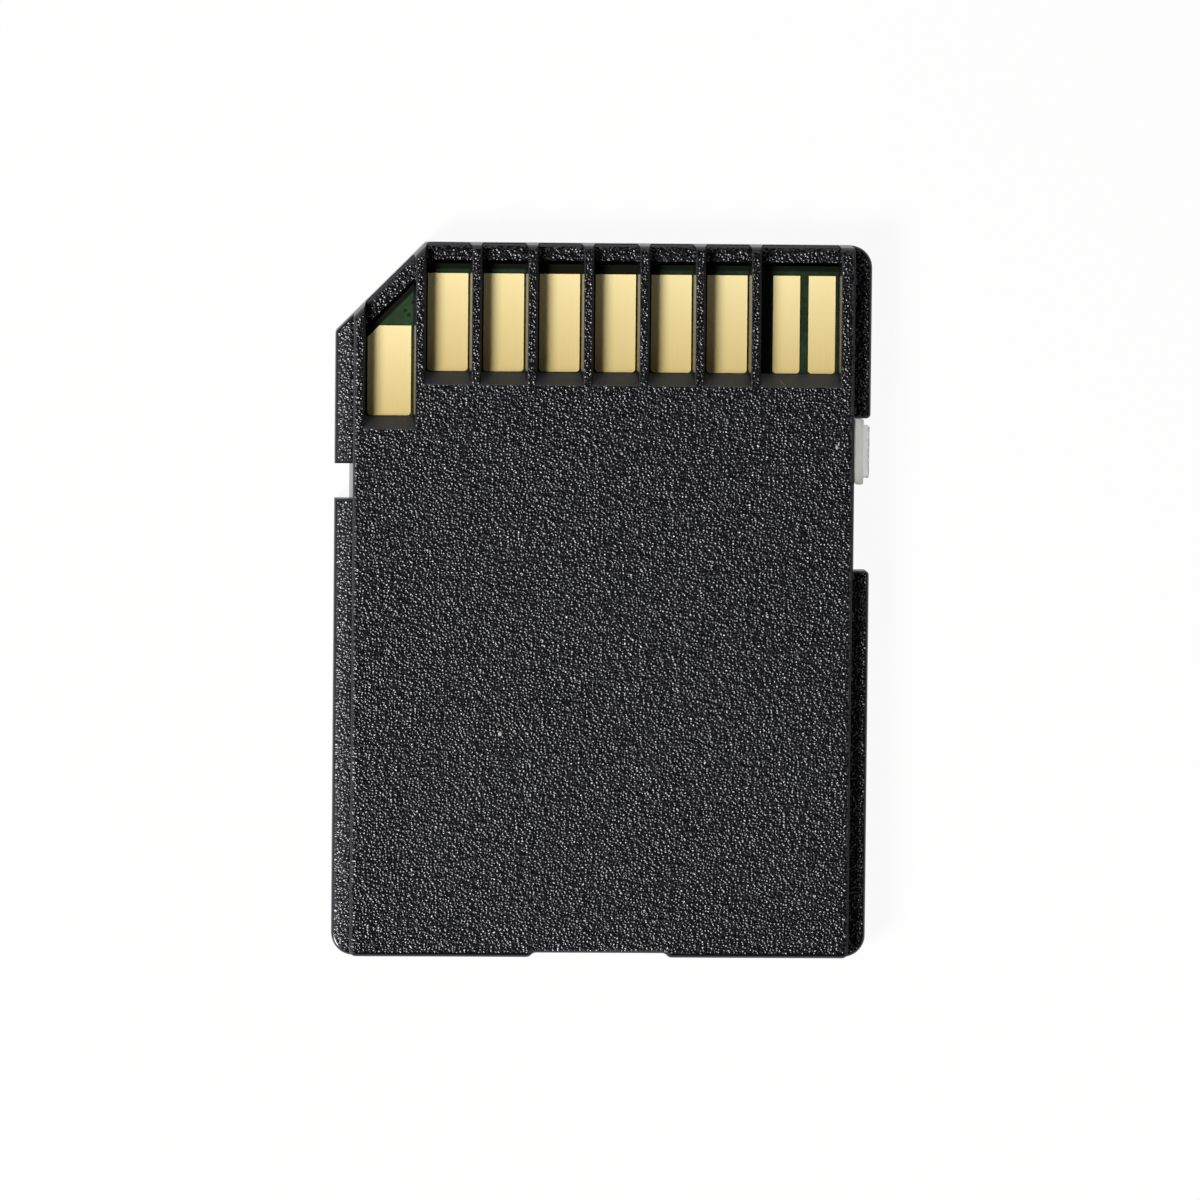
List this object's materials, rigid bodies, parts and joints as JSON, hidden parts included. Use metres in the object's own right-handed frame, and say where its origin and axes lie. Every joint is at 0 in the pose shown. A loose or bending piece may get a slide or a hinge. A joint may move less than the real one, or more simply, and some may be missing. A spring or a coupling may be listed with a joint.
{
  "type": "sd memory card",
  "caption": "Flat black memory card with a cut corner, a row of gold contacts in ribbed windows, side rails and a sliding write-protect tab on one edge.",
  "frame": {"origin": "middle of the label face, on the surface that the card lies on", "axes": "+Z out of the contact side, +Y along the card towards the contact edge, +X towards the write-protect slider"},
  "size_m": [0.024, 0.032, 0.0021],
  "materials": {
    "shell_plastic": "black moulded plastic with a spark-eroded grain",
    "slider_plastic": "pale grey moulded plastic",
    "board_laminate": "green solder resist on thin laminate",
    "contact_gold": "hard gold plating",
    "package_epoxy": "moulded epoxy",
    "tinned_copper": "tin plating",
    "capacitor_ceramic": "fired ceramic with tinned ends",
    "resistor_film": "glazed thick film with tinned ends"
  },
  "bodies": {
    "card": {"front_shell": "shell_plastic", "rear_shell": "shell_plastic", "circuit_board": "board_laminate", "flash_memory_package": "package_epoxy", "flash_memory_leads": "tinned_copper", "controller_package": "package_epoxy", "controller_lands": "tinned_copper", "contact_pad_1": "contact_gold", "contact_pad_2": "contact_gold", "contact_pad_3": "contact_gold", "contact_pad_4": "contact_gold", "contact_pad_5": "contact_gold", "contact_pad_6": "contact_gold", "contact_pad_7": "contact_gold", "contact_pad_8": "contact_gold", "contact_pad_9": "contact_gold", "decoupling_capacitor_1": "capacitor_ceramic", "decoupling_capacitor_2": "capacitor_ceramic", "decoupling_capacitor_3": "capacitor_ceramic", "decoupling_capacitor_4": "capacitor_ceramic", "decoupling_capacitor_5": "capacitor_ceramic", "pull_up_resistor_1": "resistor_film", "pull_up_resistor_2": "resistor_film", "pull_up_resistor_3": "resistor_film", "pull_up_resistor_4": "resistor_film"},
    "slider": {"write_protect_slider": "slider_plastic"}
  },
  "joints": [
    {"name": "write_protect_slide", "type": "slide", "parent": "card", "child": "slider", "axis": [0, -1, 0], "range_m": [0, 0.00384]}
  ]
}
